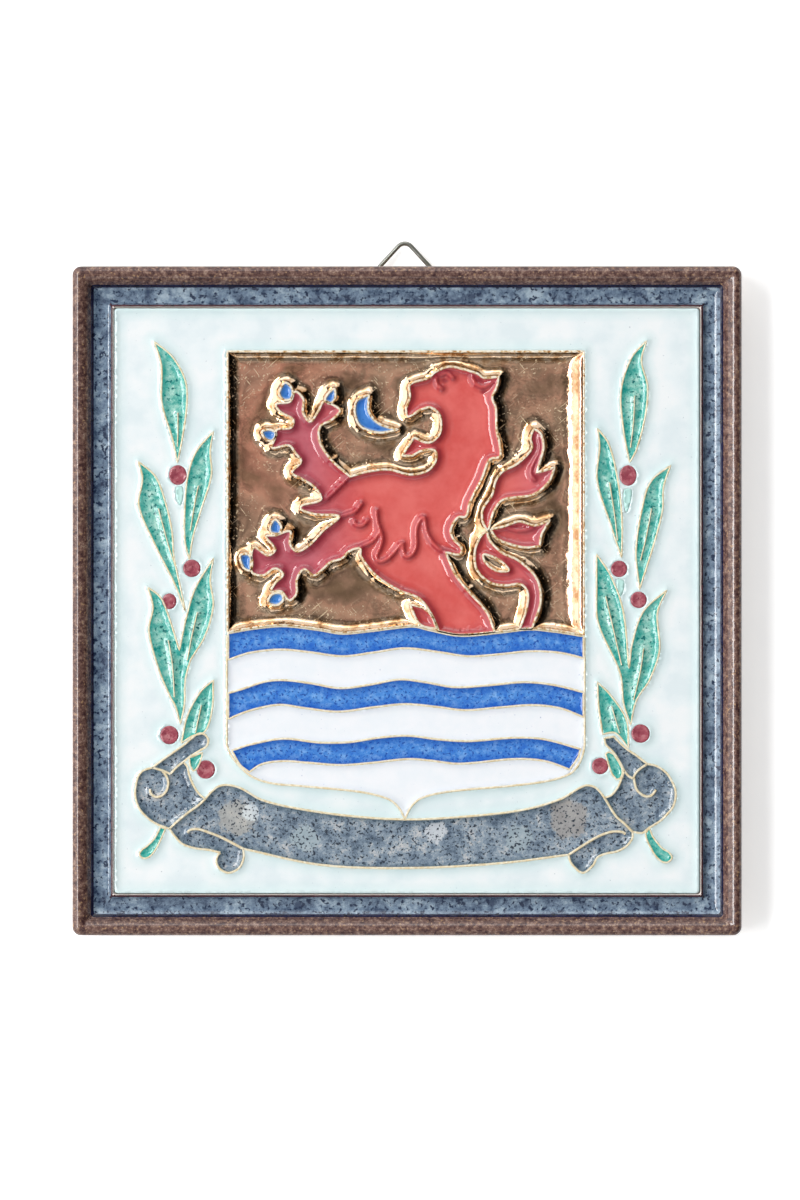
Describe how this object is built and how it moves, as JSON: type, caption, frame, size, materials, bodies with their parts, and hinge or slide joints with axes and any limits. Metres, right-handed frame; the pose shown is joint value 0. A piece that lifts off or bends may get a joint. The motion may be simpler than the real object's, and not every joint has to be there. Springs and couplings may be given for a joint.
{
  "type": "relief tile",
  "caption": "Square glazed ceramic relief tile with a moulded frame, a heraldic shield between two leafy branches, a blank ribbon and a bent steel wire for hanging",
  "frame": {"origin": "middle of the square, in the plane of the foot rim that rests on a table or a wall", "axes": "+Z out of the picture, +Y to the top edge with the wire loop, +X to the picture's right"},
  "size_m": [0.105, 0.1092, 0.0096],
  "materials": {
    "tile": "gloss glazes between bare clay ridges, gilt field",
    "hanging_wire": "drawn wire"
  },
  "bodies": {
    "root": {"tile": "tile", "hanging_wire": "hanging_wire"}
  },
  "joints": []
}
